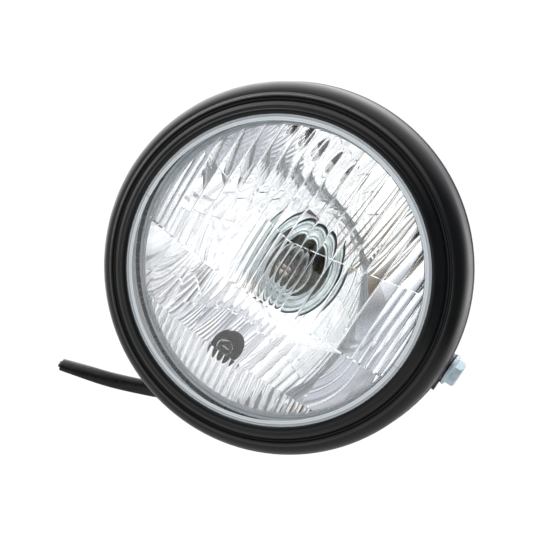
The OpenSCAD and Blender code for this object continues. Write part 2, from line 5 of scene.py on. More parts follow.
import bmesh
import bpy
from mathutils import Matrix, Vector


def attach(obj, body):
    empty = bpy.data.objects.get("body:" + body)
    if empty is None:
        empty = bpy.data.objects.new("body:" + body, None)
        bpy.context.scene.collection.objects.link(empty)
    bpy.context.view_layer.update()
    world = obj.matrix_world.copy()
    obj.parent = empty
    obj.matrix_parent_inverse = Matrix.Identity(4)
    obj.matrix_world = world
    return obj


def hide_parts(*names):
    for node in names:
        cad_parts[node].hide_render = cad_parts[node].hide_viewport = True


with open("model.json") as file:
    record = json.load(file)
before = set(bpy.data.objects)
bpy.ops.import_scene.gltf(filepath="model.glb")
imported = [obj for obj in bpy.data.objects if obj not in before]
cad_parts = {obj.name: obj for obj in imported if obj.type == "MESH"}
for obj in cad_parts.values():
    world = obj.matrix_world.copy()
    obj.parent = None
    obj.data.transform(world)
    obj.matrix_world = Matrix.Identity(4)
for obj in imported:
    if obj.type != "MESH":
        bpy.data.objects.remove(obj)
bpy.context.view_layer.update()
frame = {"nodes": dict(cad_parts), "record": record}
nodes = frame["nodes"]

MM = 0.001
BODY = "root"

# Sizes of the lamp in millimetres, as in the frame: r is the distance from the lamp's axis and
# depth is measured backwards from the plane of the visible glass edge.
PIVOT_DEPTH = 45.0
GLASS_R = 76.7
SEAT_DEPTH = 1.5
DOME_EDGE_R = GLASS_R - 0.2
GRID_R = GLASS_R - 3.1
SKIRT_R = GLASS_R + 2.7
SKIRT_DEPTH = 6.0
DOME_RISE = 15.5
DOME_R = (DOME_EDGE_R ** 2 + DOME_RISE ** 2) / (2 * DOME_RISE)
DOME_CENTRE = SEAT_DEPTH - DOME_RISE + DOME_R
GLASS_T = 3.1


# Camera

def place_camera():
    """A little from the lamp's right and above, and rolled so that the lamp leans clockwise."""
    azimuth = math.radians(9.1)
    elevation = math.radians(10.7)
    roll = math.radians(32.4)
    distance = 0.9
    nearest = 0.01
    sensor_mm = 36.0
    target = Vector((0.0, -PIVOT_DEPTH * MM, 0.0))
    image_px = 533
    pixels_per_metre = 1 / 0.000488
    axis_px = (275.6, 271.4)

    right = Vector((math.cos(azimuth), math.sin(azimuth), 0.0))
    back = Vector((
        math.sin(azimuth) * math.cos(elevation),
        -math.cos(azimuth) * math.cos(elevation),
        math.sin(elevation),
    ))
    up = back.cross(right)
    rolled_right = right * math.cos(roll) + up * math.sin(roll)
    rolled_up = up * math.cos(roll) - right * math.sin(roll)

    data = bpy.data.cameras.new("camera")
    data.sensor_width = sensor_mm
    data.lens = sensor_mm * pixels_per_metre * distance / image_px
    data.shift_x = (image_px / 2 - axis_px[0]) / image_px
    data.shift_y = (axis_px[1] - image_px / 2) / image_px
    data.clip_start = nearest
    camera = bpy.data.objects.new("camera", data)
    turn = Matrix((rolled_right, rolled_up, back)).transposed().to_4x4()
    camera.matrix_world = Matrix.Translation(target + back * distance) @ turn
    bpy.context.scene.collection.objects.link(camera)
    bpy.context.scene.camera = camera


# Node helpers

# The range in which most of a noise's values lie
NOISE_LOW = 0.3
NOISE_HIGH = 0.7


class Nodes:
    """Short calls that build a node tree."""

    def __init__(self, tree):
        self.tree = tree

    def node(self, kind, **values):
        made = self.tree.nodes.new(kind)
        for name, value in values.items():
            setattr(made, name, value)
        return made

    def link(self, source, target):
        self.tree.links.new(source, target)

    def feed(self, made, places, values):
        """Gives each input a number or a link."""
        for place, value in zip(places, values):
            if isinstance(value, (int, float, tuple)):
                made.inputs[place].default_value = value
            else:
                self.link(value, made.inputs[place])

    def math(self, operation, *values):
        made = self.node("ShaderNodeMath", operation=operation)
        self.feed(made, range(len(values)), values)
        return made.outputs["Value"]

    def vector(self, operation, *values):
        made = self.node("ShaderNodeVectorMath", operation=operation)
        places = (0, "Scale") if operation == "SCALE" else range(len(values))
        self.feed(made, places, values)
        return made.outputs["Value" if operation in ("DOT_PRODUCT", "LENGTH") else "Vector"]

    def mix(self, share, first, second):
        """Blends two colours, each a link or four numbers."""
        made = self.node("ShaderNodeMix", data_type="RGBA")
        wanted = ("Factor_Float", "A_Color", "B_Color")
        places = [i for i, socket in enumerate(made.inputs) if socket.identifier in wanted]
        self.feed(made, places, (share, first, second))
        return next(socket for socket in made.outputs if socket.identifier == "Result_Color")

    def span(self, source, low, high, from_low=NOISE_LOW, from_high=NOISE_HIGH, smooth=False):
        """Goes from low to high while the source goes from from_low to from_high."""
        made = self.node("ShaderNodeMapRange")
        if smooth:
            made.interpolation_type = "SMOOTHSTEP"
        limits = (("From Min", from_low), ("From Max", from_high), ("To Min", low), ("To Max", high))
        for name, value in limits:
            made.inputs[name].default_value = value
        self.link(source, made.inputs["Value"])
        return made.outputs["Result"]


class Shader(Nodes):
    """A material's node tree."""

    def __init__(self, name):
        self.material = bpy.data.materials.new(name)
        self.material.use_nodes = True
        super().__init__(self.material.node_tree)
        self.surface = self.tree.nodes["Principled BSDF"]
        self.output = self.tree.nodes["Material Output"]

    def set(self, **values):
        for name, value in values.items():
            self.surface.inputs[name.replace("_", " ")].default_value = value

    def colour(self, source):
        self.link(source, self.surface.inputs["Base Color"])

    def rough(self, source):
        self.link(source, self.surface.inputs["Roughness"])

    def place(self):
        return self.node("ShaderNodeTexCoord").outputs["Object"]

    def noise(self, scale, detail, roughness=0.5):
        made = self.node("ShaderNodeTexNoise")
        made.inputs["Scale"].default_value = scale
        made.inputs["Detail"].default_value = detail
        made.inputs["Roughness"].default_value = roughness
        self.link(self.place(), made.inputs["Vector"])
        return made.outputs["Fac"]

    def painted_shade_rings(self, lines):
        """How much painted shade each place gets on circles about the lamp's axis: radius, reach and
        darkness of each.
        """
        core = 0.3
        radius = self.vector("LENGTH", self.vector("MULTIPLY", self.place(), (1.0, 0.0, 1.0)))
        shade = 0.0
        for line_r, reach, depth in lines:
            away = self.math("ABSOLUTE", self.math("SUBTRACT", radius, line_r * MM))
            line = self.span(away, depth, 0.0, core * reach * MM, reach * MM, smooth=True)
            shade = self.math("MAXIMUM", shade, line)
        return shade

    def blend(self, source, first, second):
        """Goes from the first colour to the second over the range of a noise."""
        ramp = self.node("ShaderNodeValToRGB")
        ends = zip(ramp.color_ramp.elements, (NOISE_LOW, NOISE_HIGH), (first, second))
        for element, position, colour in ends:
            element.position = position
            element.color = (*colour, 1.0)
        self.link(source, ramp.inputs["Fac"])
        return ramp.outputs["Color"]

    def bump(self, source, distance):
        made = self.node("ShaderNodeBump")
        made.inputs["Distance"].default_value = distance
        made.inputs["Strength"].default_value = 1.0
        self.link(source, made.inputs["Height"])
        self.link(made.outputs["Normal"], self.surface.inputs["Normal"])


# Materials

# Height of the finest grain of a surface, in metres
FINE_GRAIN = 0.00002

# Each line of painted shade on the bulb's collar and on the glass's edge, a dark ring where shade falls
# in a groove or at an edge: its radius and reach in millimetres, and its darkness
COLLAR_GROOVE_PAINTED_SHADE = [(25.0, 1.5, 1.0), (21.4, 0.6, 0.25), (17.6, 0.5, 0.4)]
GLASS_EDGE_PAINTED_SHADE = [(75.7, 0.5, 0.6), (74.3, 0.35, 0.3)]

# Dark colour, light colour, range of roughness, scale of the mottling and share of bare metal
METALS = {
    "zinc_steel": ((0.42, 0.44, 0.45), (0.56, 0.57, 0.58), (0.25, 0.42), 200, 1.0),
    "filament_wire": ((0.5, 0.42, 0.35), (0.68, 0.58, 0.49), (0.15, 0.3), 200, 1.0),
    # Painted shade: the bulb base is near black to stand in for the shaded opening of the socket, not for
    # the brass's own colour.
    "base_brass": ((0.014, 0.015, 0.008), (0.055, 0.055, 0.032), (0.2, 0.35), 200, 1.0),
    "bolt_zinc": ((0.58, 0.72, 0.81), (0.76, 0.89, 0.96), (0.28, 0.42), 260, 0.55),
    "tab_steel": ((0.12, 0.1, 0.095), (0.3, 0.26, 0.25), (0.28, 0.45), 260, 1.0),
}

# Dark colour, light colour and range of roughness
PLASTICS = {
    "black_rubber": ((0.014, 0.014, 0.015), (0.028, 0.028, 0.029), (0.5, 0.68)),
    "dark_insulator": ((0.018, 0.016, 0.014), (0.035, 0.03, 0.026), (0.4, 0.6)),
    "blue_wire": ((0.02, 0.05, 0.4), (0.03, 0.075, 0.5), (0.3, 0.42)),
    "white_wire": ((0.62, 0.62, 0.6), (0.72, 0.72, 0.7), (0.35, 0.5)),
    "black_wire": ((0.012, 0.012, 0.013), (0.022, 0.022, 0.023), (0.3, 0.45)),
    "brown_wire": ((0.12, 0.05, 0.02), (0.17, 0.08, 0.035), (0.35, 0.5)),
}

# Tint, refraction and roughness
GLASSES = {
    "lens_glass": ((0.985, 0.99, 0.995), 1.5, 0.0),
    "bulb_glass": ((0.98, 0.99, 0.985), 1.25, 0.0),
    "stem_glass": ((0.93, 0.96, 0.95), 1.5, 0.05),
}


def metal(name, dark, light, rough, scale, metallic):
    rough_scale = scale * 1.7
    grain_scale = scale * 4
    s = Shader(name)
    s.set(Metallic=metallic)
    s.colour(s.blend(s.noise(scale, 4), dark, light))
    s.rough(s.span(s.noise(rough_scale, 4), *rough))
    s.bump(s.noise(grain_scale, 3), FINE_GRAIN)
    return s.material


def plastic(name, dark, light, rough):
    scale = 300
    rough_scale = 450.0
    grain_scale = 900
    s = Shader(name)
    s.colour(s.blend(s.noise(scale, 4), dark, light))
    s.rough(s.span(s.noise(rough_scale, 4), *rough))
    s.bump(s.noise(grain_scale, 4), FINE_GRAIN)
    return s.material


def clear_glass(name, tint, ior, rough):
    s = Shader(name)
    s.set(Base_Color=(*tint, 1.0), Roughness=rough, IOR=ior, Transmission_Weight=1.0)
    return s.material


def black_paint():
    s = Shader("black_paint")
    s.set(IOR=1.5)
    s.colour(s.blend(s.noise(60, 2), (0.003, 0.0036, 0.0045), (0.0045, 0.005, 0.006)))
    s.rough(s.span(s.noise(90, 4), 0.27, 0.34))
    s.bump(s.noise(900, 2), FINE_GRAIN)
    return s.material


def mirror_coat():
    s = Shader("mirror_coat")
    s.set(Metallic=1.0)
    s.colour(s.blend(s.noise(30, 3), (0.95, 0.955, 0.96), (0.975, 0.975, 0.98)))
    s.rough(s.span(s.noise(40, 4), 0.01, 0.03))
    return s.material


def collar_zinc():
    """Pale pressed zinc with painted shade: dark rings painted where shade falls in its grooves and at its
    outer edge.
    """
    groove_painted_shade = (0.012, 0.03, 0.04, 1.0)
    s = Shader("collar_zinc")
    s.set(Metallic=1.0)
    pale = s.blend(s.noise(120, 4), (0.56, 0.63, 0.63), (0.72, 0.79, 0.79))
    # Painted shade: the rings darken the zinc where shade falls in its grooves and at its outer edge.
    s.colour(s.mix(s.painted_shade_rings(COLLAR_GROOVE_PAINTED_SHADE), pale, groove_painted_shade))
    s.rough(s.span(s.noise(200, 4), 0.18, 0.3))
    s.bump(s.noise(480, 3), FINE_GRAIN)
    return s.material


def glass_edge():
    """The smooth pressed border of the glass, a little frosted; its pale colour is painted light standing
    in for the lit flange seen through the glass, and its dark rings are painted shade.
    """
    # Painted light: this pale colour stands in for the lit flange seen through clear glass.
    pale = (0.9, 0.96, 1.0, 1.0)
    painted_line_shade = (0.3, 0.36, 0.4, 1.0)
    s = Shader("glass_edge")
    s.set(IOR=1.5, Transmission_Weight=0.12)
    # Painted shade: dark rings painted at the listed radii of the glass's border.
    s.colour(s.mix(s.painted_shade_rings(GLASS_EDGE_PAINTED_SHADE), pale, painted_line_shade))
    s.rough(s.span(s.noise(150, 4), 0.08, 0.25))
    return s.material


def flange_with_painted_reflection():
    """The bare satin steel round the mirror bowl, given a near-white colour that is a painted reflection of
    the bright bowl.
    """
    s = Shader("flange_with_painted_reflection")
    # Painted reflection: the near-white colour stands in for the bowl's bright mirror look and lightens the
    # shade under the glass's edge.
    s.colour(s.blend(s.noise(120, 4), (0.88, 0.92, 0.95), (0.95, 0.97, 0.98)))
    s.rough(s.span(s.noise(200, 4), 0.3, 0.45))
    s.bump(s.noise(500, 3), FINE_GRAIN)
    return s.material


def sleeve_vinyl():
    coarse_grain = 0.0002
    s = Shader("sleeve_vinyl")
    s.colour(s.blend(s.noise(350, 5), (0.003, 0.0035, 0.004), (0.008, 0.0085, 0.009)))
    s.rough(s.span(s.noise(500, 4), 0.2, 0.4))
    s.bump(s.noise(700, 5, roughness=0.65), coarse_grain)
    return s.material


def make_materials():
    made = {}
    for make, table in ((metal, METALS), (plastic, PLASTICS), (clear_glass, GLASSES)):
        for name, values in table.items():
            made[name] = make(name, *values)
    made["black_paint"] = black_paint()
    made["mirror_coat"] = mirror_coat()
    made["collar_zinc"] = collar_zinc()
    made["sleeve_vinyl"] = sleeve_vinyl()
    return made


def dress_cad_nodes(materials):
    """Gives every CAD node its slot's material."""
    slot_of = {part["node"]: part["material_slot"] for part in frame["record"]["subparts"]}
    for name, obj in nodes.items():
        material = materials[slot_of[name]]
        if not obj.material_slots:
            obj.data.materials.append(material)
        for place in obj.material_slots:
            place.material = material


# Meshes

def in_frame(points):
    """Millimetres from the glass edge's plane to metres in the frame."""
    return [(x * MM, (depth - PIVOT_DEPTH) * MM, z * MM) for x, depth, z in points]


def add_object(name, mesh):
    obj = bpy.data.objects.new(name, mesh)
    bpy.context.scene.collection.objects.link(obj)
    return obj


def add_mesh(name, points, faces, materials, sharp=None, second=None):
    """Adds a smooth mesh. The faces numbered in second take the second material."""
    mesh = bpy.data.meshes.new(name)
    mesh.from_pydata(points, [], faces)
    mesh.polygons.foreach_set("use_smooth", [True] * len(mesh.polygons))
    if sharp:
        marks = mesh.attributes.new("sharp_edge", "BOOLEAN", "EDGE")
        for edge in mesh.edges:
            a, b = edge.vertices
            marks.data[edge.index].value = (a, b) in sharp or (b, a) in sharp
    for material in materials:
        mesh.materials.append(material)
    for index in second or ():
        mesh.polygons[index].material_index = 1
    obj = add_object(name, mesh)
    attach(obj, BODY)
    return obj


# Lens: the frame's formulas with a finer grid

# Heights of the lines between the four zones, from the bottom. The third falls to both sides of its peak.
LOW_LINE = -49.3
MID_LINE = -15.2
PEAK_LINE = 17.6
PEAK_X = -1.0
PEAK_SLOPE = 0.182
ZONE_T = [GLASS_T + 0.3, GLASS_T - 0.1, GLASS_T + 0.7, GLASS_T]
ZONE_ROWS = [22, 16, 24, 40]
LAST_ZONE = len(ZONE_ROWS) - 1
LEDGE = 0.6
LINE_TO_RIM = 0.5

FLUTE_START = -3.0
FLUTE_PITCH = 8.25
CELL = FLUTE_PITCH / 2
CELL_STEPS = 8
COLUMN_TO_RIM = 0.1
INNER_R = GRID_R + 0.05
GROOVE_HALF = 0.28
GROOVE_DEPTH = 0.16

# How many cells one flute takes and how high it is, in each zone. The third zone has narrow flutes
# in its middle and at its sides, and wide ones between them.
PLAIN_ZONE = 1
MIXED_ZONE = 2
ZONE_FLUTES = [(1, 0.45), (4, 0.14), None, (2, 0.75)]
NARROW_FLUTE = (1, 0.42)
WIDE_FLUTE = (2, 0.3)
NARROW_WITHIN = 2 * FLUTE_PITCH
NARROW_BEYOND = 7 * FLUTE_PITCH


def across(x, cells):
    """How far x is across its flute, from 0 to 1."""
    place = (x - FLUTE_START) / CELL / cells
    return place - math.floor(place)


def flute_at(x, zone):
    """How many cells the flute at x takes, and its height."""
    if zone != MIXED_ZONE:
        return ZONE_FLUTES[zone]
    away = abs(x - FLUTE_START)
    return NARROW_FLUTE if away > NARROW_BEYOND or away < NARROW_WITHIN else WIDE_FLUTE


def flute(x, zone):
    cells, height = flute_at(x, zone)
    u = across(x, cells)
    return 4 * height * u * (1 - u)


def groove(x, zone):
    """The crisp line between two flutes."""
    if zone == PLAIN_ZONE:
        return 0.0
    cells, _ = flute_at(x, zone)
    u = across(x, cells)
    away = min(u, 1 - u) * cells * CELL
    return GROOVE_DEPTH * max(0.0, 1 - away / GROOVE_HALF)


def dome_depth(x, z):
    return DOME_CENTRE - math.sqrt(DOME_R ** 2 - x * x - z * z)


def inner_depth(x, z, zone):
    around = math.sqrt((DOME_R - ZONE_T[zone]) ** 2 - x * x) - flute(x, zone) + groove(x, zone)
    return DOME_CENTRE - math.sqrt(around ** 2 - z * z)


def zone_rows(x):
    """The heights of the grid's points at x, each with its zone."""
    w = math.sqrt(GRID_R ** 2 - x * x)
    low = max(LOW_LINE, -w + LINE_TO_RIM)
    middle = max(MID_LINE, low + LEDGE)
    high = min(PEAK_LINE + PEAK_SLOPE * abs(x - PEAK_X), w - LINE_TO_RIM)
    limits = [-w, low, middle, high, w]
    rows = []
    for zone, count in enumerate(ZONE_ROWS):
        start = limits[zone] + (LEDGE / 2 if zone > 0 else 0)
        end = limits[zone + 1] - (LEDGE / 2 if zone < LAST_ZONE else 0)
        rows += [(start + (end - start) * k / count, zone) for k in range(count + 1)]
    return rows


def lens_columns():
    """Where the grid's columns stand: on each line between cells and in equal steps between the grooves."""
    between = CELL - 2 * GROOVE_HALF
    in_cell = [0.0] + [GROOVE_HALF + between * k / CELL_STEPS for k in range(CELL_STEPS + 1)]
    first = math.floor((-GRID_R - FLUTE_START) / CELL)
    last = math.ceil((GRID_R - FLUTE_START) / CELL)
    columns = [FLUTE_START + cell * CELL + place for cell in range(first, last) for place in in_cell]
    return [x for x in columns if abs(x) < GRID_R - COLUMN_TO_RIM]


def grid_border(n_columns, n_rows):
    """The grid's outer points, once round."""
    border = list(range(n_rows))
    border += [i * n_rows + n_rows - 1 for i in range(1, n_columns)]
    border += [(n_columns - 1) * n_rows + j for j in range(n_rows - 2, -1, -1)]
    border += [i * n_rows for i in range(n_columns - 2, 0, -1)]
    return border


def inner_sharp_edges(columns, rows, start):
    """The inner face's edges along the lines between flutes and along both sides of each zone line."""
    probe_step = 0.01
    on_line = 1e-4
    n_rows = len(rows[0])
    sharp = set()
    for i, x in enumerate(columns):
        for j in range(n_rows - 1):
            zone = rows[i][j][1]
            if rows[i][j + 1][1] != zone:
                continue
            for probe in (x - probe_step, x + probe_step):
                cells, _ = flute_at(probe, zone)
                u = across(x, cells)
                if min(u, 1 - u) < on_line:
                    p = start + i * n_rows + j
                    sharp.add((p, p + 1))
    for j in range(n_rows - 1):
        if rows[0][j][1] == rows[0][j + 1][1]:
            continue
        for i in range(len(columns) - 1):
            for row in (j, j + 1):
                p = start + i * n_rows + row
                sharp.add((p, p + n_rows))
    return sharp


def make_lens(material):
    columns = lens_columns()
    rows = [zone_rows(x) for x in columns]
    n_columns = len(columns)
    n_rows = len(rows[0])
    n_grid = n_columns * n_rows
    front = [(x, dome_depth(x, z), z) for x, line in zip(columns, rows) for z, zone in line]
    back = [(x, inner_depth(x, z, zone), z) for x, line in zip(columns, rows) for z, zone in line]
    border = grid_border(n_columns, n_rows)
    n_border = len(border)

    shoulder_r = (GRID_R + DOME_EDGE_R) / 2
    rings = [
        (shoulder_r, dome_depth(shoulder_r, 0)), (DOME_EDGE_R, SEAT_DEPTH), (SKIRT_R, SEAT_DEPTH),
        (SKIRT_R, SKIRT_DEPTH), (INNER_R, SKIRT_DEPTH),
    ]
    n_rings = len(rings)
    points = front + back
    for radius, depth in rings:
        for b in border:
            x, _, z = front[b]
            scale = radius / math.hypot(x, z)
            points.append((x * scale, depth, z * scale))

    def loop(k, i):
        """Point i of ring k, where the first ring is the front's border and the last one the back's."""
        if k == 0:
            return border[i % n_border]
        if k <= n_rings:
            return 2 * n_grid + (k - 1) * n_border + i % n_border
        return n_grid + border[i % n_border]

    faces = []
    for i in range(n_columns - 1):
        for j in range(n_rows - 1):
            p = i * n_rows + j
            faces.append((p + 1, p + n_rows + 1, p + n_rows, p))
            q = p + n_grid
            faces.append((q, q + n_rows, q + n_rows + 1, q + 1))
    edge_faces = range(len(faces), len(faces) + (n_rings + 1) * n_border)
    for k in range(n_rings + 1):
        for i in range(n_border):
            faces.append((loop(k + 1, i), loop(k + 1, i + 1), loop(k, i + 1), loop(k, i)))

    sharp = inner_sharp_edges(columns, rows, n_grid)
    for k in range(2, n_rings + 2):
        for i in range(n_border):
            sharp.add((loop(k, i), loop(k, i + 1)))

    both = [material, glass_edge()]
    lens = add_mesh("lens_dense", in_frame(points), faces, both, sharp, edge_faces)
    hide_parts("lens")


# Reflector: a fine lathe mesh, because each facet of a mirror bowl shows

FOCAL = 31.0
VERTEX_DEPTH = 50.0
NECK_R = 24.8
COLLAR_SEAT = 49.5
CHANNEL_DEPTH = 7.0
CHANNEL_R = SKIRT_R + 0.5
CHANNEL_CORNER = 0.6
CHANNEL_END = SEAT_DEPTH + 2.3
BOWL_R = math.sqrt(4 * FOCAL * (VERTEX_DEPTH - CHANNEL_DEPTH))
BOWL_STEPS = 170
BOWL_SIDES = 400
NECK_STEP_R = 0.6
NECK_STEP_DEPTH = 0.4
SHEET = 0.8
FLANGE_DEPTH = CHANNEL_DEPTH + SHEET + 0.1
SHARP_ANGLE = 25

# The bead at the bowl's edge: how far each point is outside the bowl, and how far it rises
EDGE_BEAD = [(0.15, 0.4), (0.4, 0.75), (0.8, 0.85), (1.1, 0.75), (1.35, 0.4), (1.5, 0.0)]

# The sheet's hidden back needs fewer points than the mirror, except near both ends of its outline.
BACK_EVERY = 6
BACK_START = 4
BACK_END = 12

HOLDER_X = -4.9
HOLDER_Z = -52.3
HOLDER_HOLE_R = 8.1
HOLDER_END = 38.0
HOLDER_SIDES = 96


def bowl_depth(r):
    return VERTEX_DEPTH - r * r / (4 * FOCAL)


def mirror_path():
    """Radii and depths of the sheet's front, from the neck to the channel's outer edge."""
    path = [(NECK_R, COLLAR_SEAT), (NECK_R, bowl_depth(NECK_R) + NECK_STEP_DEPTH)]
    start = NECK_R + NECK_STEP_R
    for i in range(BOWL_STEPS + 1):
        r = start + (BOWL_R - start) * i / BOWL_STEPS
        path.append((r, bowl_depth(r)))
    path += [(BOWL_R + out, CHANNEL_DEPTH - rise) for out, rise in EDGE_BEAD]
    path += [
        (CHANNEL_R - CHANNEL_CORNER, CHANNEL_DEPTH),
        (CHANNEL_R, CHANNEL_DEPTH - CHANNEL_CORNER),
        (CHANNEL_R, CHANNEL_END),
    ]
    return path


def sheet_outline(path, thickness):
    """Closed outline of a sheet that follows a path of radii and depths."""
    back = []
    for i, (r, depth) in enumerate(path):
        if BACK_START < i < len(path) - BACK_END and i % BACK_EVERY:
            continue
        a = Vector(path[max(i - 1, 0)])
        b = Vector(path[min(i + 1, len(path) - 1)])
        along = (b - a).normalized()
        back.append((r - along.y * thickness, depth + along.x * thickness))
    return path + back[::-1]


def lathe(outline, sides):
    """Points and faces of a closed outline of radii and depths turned about the lamp's axis."""
    points = []
    for k in range(sides):
        a = 2 * math.pi * k / sides
        points += [(r * math.cos(a), depth, r * math.sin(a)) for r, depth in outline]
    n = len(outline)
    faces = []
    for k in range(sides):
        here = k * n
        there = (k + 1) % sides * n
        for i in range(n):
            j = (i + 1) % n
            faces.append((here + i, there + i, there + j, here + j))
    return points, faces


def round_holder(k, r):
    """Place number k on a circle about the position lamp's own axis."""
    a = 2 * math.pi * k / HOLDER_SIDES
    return HOLDER_X + r * math.cos(a), HOLDER_Z + r * math.sin(a)


def holder_tube():
    """The short tube behind the bowl that grips the position lamp."""
    points = []
    for k in range(HOLDER_SIDES):
        for r in (HOLDER_HOLE_R, HOLDER_HOLE_R + SHEET):
            x, z = round_holder(k, r)
            points += [(x, bowl_depth(math.hypot(x, z)) + SHEET / 2, z), (x, HOLDER_END, z)]
    faces = []
    for k in range(HOLDER_SIDES):
        a = 4 * k
        b = 4 * ((k + 1) % HOLDER_SIDES)
        for i, j in ((0, 1), (1, 3), (3, 2), (2, 0)):
            faces.append((a + i, a + j, b + j, b + i))
    return points, faces


def make_drill():
    """A rod that cuts the position lamp's hole out of the bowl."""
    past_end = 10
    points = []
    faces = []
    for k in range(HOLDER_SIDES):
        x, z = round_holder(k, HOLDER_HOLE_R)
        points += [(x, 0.0, z), (x, HOLDER_END + past_end, z)]
        b = (k + 1) % HOLDER_SIDES
        faces.append((2 * k, 2 * k + 1, 2 * b + 1, 2 * b))
    faces.append(tuple(2 * k for k in range(HOLDER_SIDES)))
    faces.append(tuple(2 * k + 1 for k in reversed(range(HOLDER_SIDES))))
    mesh = bpy.data.meshes.new("drill")
    mesh.from_pydata(in_frame(points), [], faces)
    return add_object("drill", mesh)


def cut_hole(bowl):
    """Gives the bowl a mesh with the position lamp's hole in it."""
    drill = make_drill()
    cut = bowl.modifiers.new("hole", "BOOLEAN")
    cut.operation = "DIFFERENCE"
    cut.solver = "EXACT"
    cut.object = drill
    done = bpy.data.meshes.new_from_object(bowl.evaluated_get(bpy.context.evaluated_depsgraph_get()))
    bowl.modifiers.clear()
    bowl.data = done
    bpy.data.objects.remove(drill)


def add_holder_tube(mesh):
    points, faces = holder_tube()
    merged = bmesh.new()
    merged.from_mesh(mesh)
    made = [merged.verts.new(p) for p in in_frame(points)]
    for face in faces:
        merged.faces.new([made[i] for i in face])
    bmesh.ops.recalc_face_normals(merged, faces=merged.faces)
    merged.to_mesh(mesh)
    merged.free()
    mesh.polygons.foreach_set("use_smooth", [True] * len(mesh.polygons))
    mesh.set_sharp_from_angle(angle=math.radians(SHARP_ANGLE))


def make_reflector(material):
    points, faces = lathe(sheet_outline(mirror_path(), SHEET), BOWL_SIDES)
    flange = [i for i, face in enumerate(faces) if all(points[p][1] < FLANGE_DEPTH for p in face)]
    both = [material, flange_with_painted_reflection()]
    bowl = add_mesh("reflector_dense", in_frame(points), faces, both, second=flange)
    cut_hole(bowl)
    add_holder_tube(bowl.data)
    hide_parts("reflector")


# Cable sleeve

# The sleeve's middle line from the grommet to the cut end, in millimetres in the frame
SLEEVE_ROUTE = [
    (-8.7, 37.6, -82.6), (-9.2, 40.9, -87.4), (-12, 43.4, -92.2), (-16, 45.4, -97), (-21.2, 46.6, -101.6),
    (-27.5, 47.4, -105.6), (-35.5, 48, -110), (-43.5, 48.4, -113.7), (-50.5, 48.7, -116.8),
    (-57.7, 48.9, -119.7), (-65, 48.9, -122.3), (-72.6, 48.7, -124.7), (-80.5, 48.4, -127.1),
    (-88.5, 48, -129.5),
]
SLEEVE_W = 8.5
SLEEVE_T = 5.6
SLEEVE_WALL = 0.55
SLEEVE_UP = Vector((0.35, 1.0, 0.2))
SLEEVE_TWIST = math.radians(70)
SLEEVE_SIDES = 40
ROUTE_STEPS = 8
OPEN_RINGS = 6 * ROUTE_STEPS

# Small waves in the sleeve's skin: height, how many go round it and how they drift along it
SLEEVE_WAVES = [(0.05, 3, 0.11), (0.03, 5, -0.17)]


def smooth_route(points, steps):
    """Points of a curve through all the given points."""
    route = []
    for i in range(len(points) - 1):
        a = Vector(points[max(i - 1, 0)])
        b = Vector(points[i])
        c = Vector(points[i + 1])
        d = Vector(points[min(i + 2, len(points) - 1)])
        for k in range(steps):
            u = k / steps
            route.append(0.5 * (
                2 * b + (c - a) * u + (2 * a - 5 * b + 4 * c - d) * u * u + (3 * b - 3 * c + d - a) * u ** 3
            ))
    route.append(Vector(points[-1]))
    return route


def sleeve_ring(route, i, inset):
    """One oval ring of the sleeve's skin at point i of its route, turned as the sleeve twists."""
    last = len(route) - 1
    along = (route[min(i + 1, last)] - route[max(i - 1, 0)]).normalized()
    wide = SLEEVE_UP.cross(along).normalized()
    thin = along.cross(wide)
    turn = SLEEVE_TWIST * (i / last) ** 3
    u = wide * math.cos(turn) + thin * math.sin(turn)
    v = thin * math.cos(turn) - wide * math.sin(turn)
    ring = []
    for k in range(SLEEVE_SIDES):
        a = 2 * math.pi * k / SLEEVE_SIDES
        wave = sum(height * math.sin(a * count + i * drift) for height, count, drift in SLEEVE_WAVES)
        half_w = SLEEVE_W / 2 - inset + wave
        half_t = SLEEVE_T / 2 - inset + wave
        ring.append((route[i] + u * half_w * math.cos(a) + v * half_t * math.sin(a)) * MM)
    return ring


def make_sleeve(material):
    """A flattened soft tube with a wall, a slight twist and a cut, open end."""
    route = smooth_route(SLEEVE_ROUTE, ROUTE_STEPS)
    last = len(route) - 1
    sides = SLEEVE_SIDES
    points = []
    for inset, order in ((0.0, range(last + 1)), (SLEEVE_WALL, range(last, last - OPEN_RINGS, -1))):
        for i in order:
            points += sleeve_ring(route, i, inset)
    n_rings = len(points) // sides
    faces = [tuple(range(sides))]
    for i in range(n_rings - 1):
        for k in range(sides):
            n = (k + 1) % sides
            faces.append((i * sides + n, i * sides + k, (i + 1) * sides + k, (i + 1) * sides + n))
    faces.append(tuple(reversed(range((n_rings - 1) * sides, n_rings * sides))))
    sleeve = add_mesh("sleeve", points, faces, [material])
    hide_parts("cord_sleeve")


# Floor and world

FLOOR_HALF = 6.0
FLOOR_HEIGHT = -0.26

# How much of the floor's own look gives way to its glow
FLOOR_SHARE = 0.85

# The strength of that glow for the camera, and in reflections, where it rises towards the floor's
# left back corner between two distances in metres
FLOOR_CAMERA = 1.1
FLOOR_GLOSSY = 0.5
FLOOR_GLOSSY_FAR = 1.8
FAR_START = 0.1
FAR_END = 0.3

# The range of its strength through the glass, and the range of the noise that sets it
FLOOR_THROUGH = (1.0, 2.0)
FLOOR_NOISE = (0.38, 0.62)

